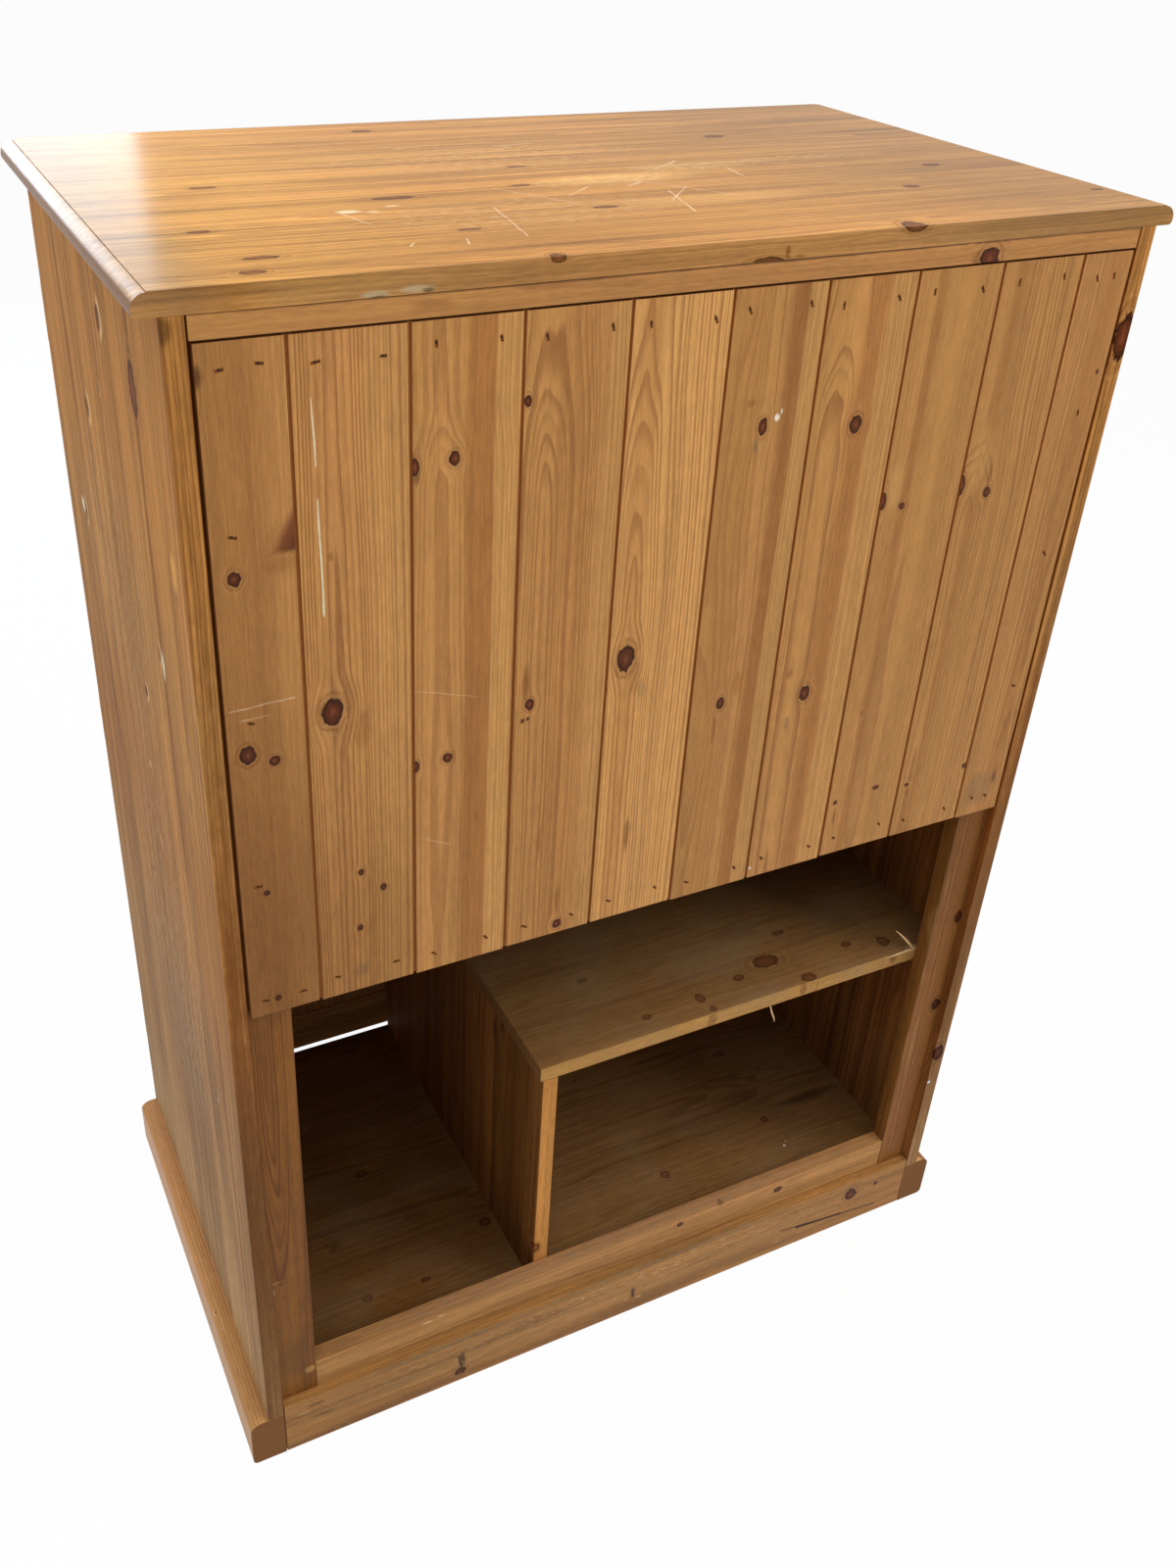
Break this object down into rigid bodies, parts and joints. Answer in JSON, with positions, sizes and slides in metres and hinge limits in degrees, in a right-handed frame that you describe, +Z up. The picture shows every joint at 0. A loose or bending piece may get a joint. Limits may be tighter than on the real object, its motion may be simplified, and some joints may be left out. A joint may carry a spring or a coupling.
{
  "type": "two-door wardrobe",
  "caption": "Pine two-door wardrobe with a moulded top and plinth, tongued back boards over an open lower bay, a divider, a shelf, a hanging rail and hinged panelled doors.",
  "frame": {"origin": "centre of the bounding box in plan, at the ground", "axes": "+Z up, -Y towards the front with the doors, +Y towards the boarded back, +X to the right seen from the front"},
  "size_m": [0.957, 0.578, 1.334],
  "materials": {
    "top_lacquer": "warm honey pine, satin lacquer",
    "side_pine": "honey pine, duller satin lacquer with light dents",
    "back_pine": "two-tone pine boards with knots, thin finish",
    "inside_pine": "dusty brown pine",
    "batten_pine": "pine battens, thin finish",
    "door_pine": "honey pine, satin lacquer",
    "knob_pine": "turned pine, satin lacquer",
    "hinge_brass": "satin brass plate",
    "rail_steel": "chromed tube",
    "screw_steel": "zinc-plated steel",
    "nail_steel": "dark iron nails",
    "catch_plastic": "brown moulded plastic"
  },
  "bodies": {
    "carcass": {"top_slab": "top_lacquer", "side_panel_left": "side_pine", "side_panel_right": "side_pine", "front_top_rail": "side_pine", "plinth_side_left": "side_pine", "plinth_side_right": "side_pine", "plinth_front": "side_pine", "plinth_rear_rail": "back_pine", "floor_rear_rail": "back_pine", "back_top_rail": "back_pine", "back_board_1": "back_pine", "back_board_2": "back_pine", "back_board_3": "back_pine", "back_board_4": "back_pine", "back_board_5": "back_pine", "back_board_6": "back_pine", "back_board_7": "back_pine", "back_board_8": "back_pine", "back_board_9": "back_pine", "back_board_10": "back_pine", "floor_board": "inside_pine", "divider": "inside_pine", "shelf": "inside_pine", "floor_bearers": "batten_pine", "shelf_cleat": "batten_pine", "back_cleat_left": "batten_pine", "back_cleat_right": "batten_pine", "back_batten_top": "batten_pine", "back_batten_bottom": "batten_pine", "back_nails": "nail_steel", "hanging_rail": "rail_steel", "rail_sockets": "rail_steel", "magnetic_catches": "catch_plastic", "hinge_frame_leaves": "hinge_brass", "hinge_pins": "hinge_brass", "hinge_frame_screws": "hinge_brass"},
    "left_door": {"left_hinge_stile": "door_pine", "left_meeting_stile": "door_pine", "left_top_rail": "door_pine", "left_middle_rail": "door_pine", "left_bottom_rail": "door_pine", "left_upper_panel": "door_pine", "left_lower_panel": "door_pine", "left_hinge_leaves": "hinge_brass", "left_hinge_screws": "hinge_brass", "left_knob": "knob_pine", "left_knob_screw": "screw_steel", "left_strike_plate": "screw_steel"},
    "right_door": {"right_hinge_stile": "door_pine", "right_meeting_stile": "door_pine", "right_top_rail": "door_pine", "right_middle_rail": "door_pine", "right_bottom_rail": "door_pine", "right_upper_panel": "door_pine", "right_lower_panel": "door_pine", "right_hinge_leaves": "hinge_brass", "right_hinge_screws": "hinge_brass", "right_knob": "knob_pine", "right_knob_screw": "screw_steel", "right_strike_plate": "screw_steel"}
  },
  "joints": [
    {"name": "left_door_hinge", "type": "hinge", "parent": "carcass", "child": "left_door", "pos_m": [-0.4542, -0.2452, 0.69775], "axis": [0, 0, -1], "range_deg": [0, 170]},
    {"name": "right_door_hinge", "type": "hinge", "parent": "carcass", "child": "right_door", "pos_m": [0.4542, -0.2452, 0.69775], "axis": [0, 0, 1], "range_deg": [0, 170]}
  ]
}
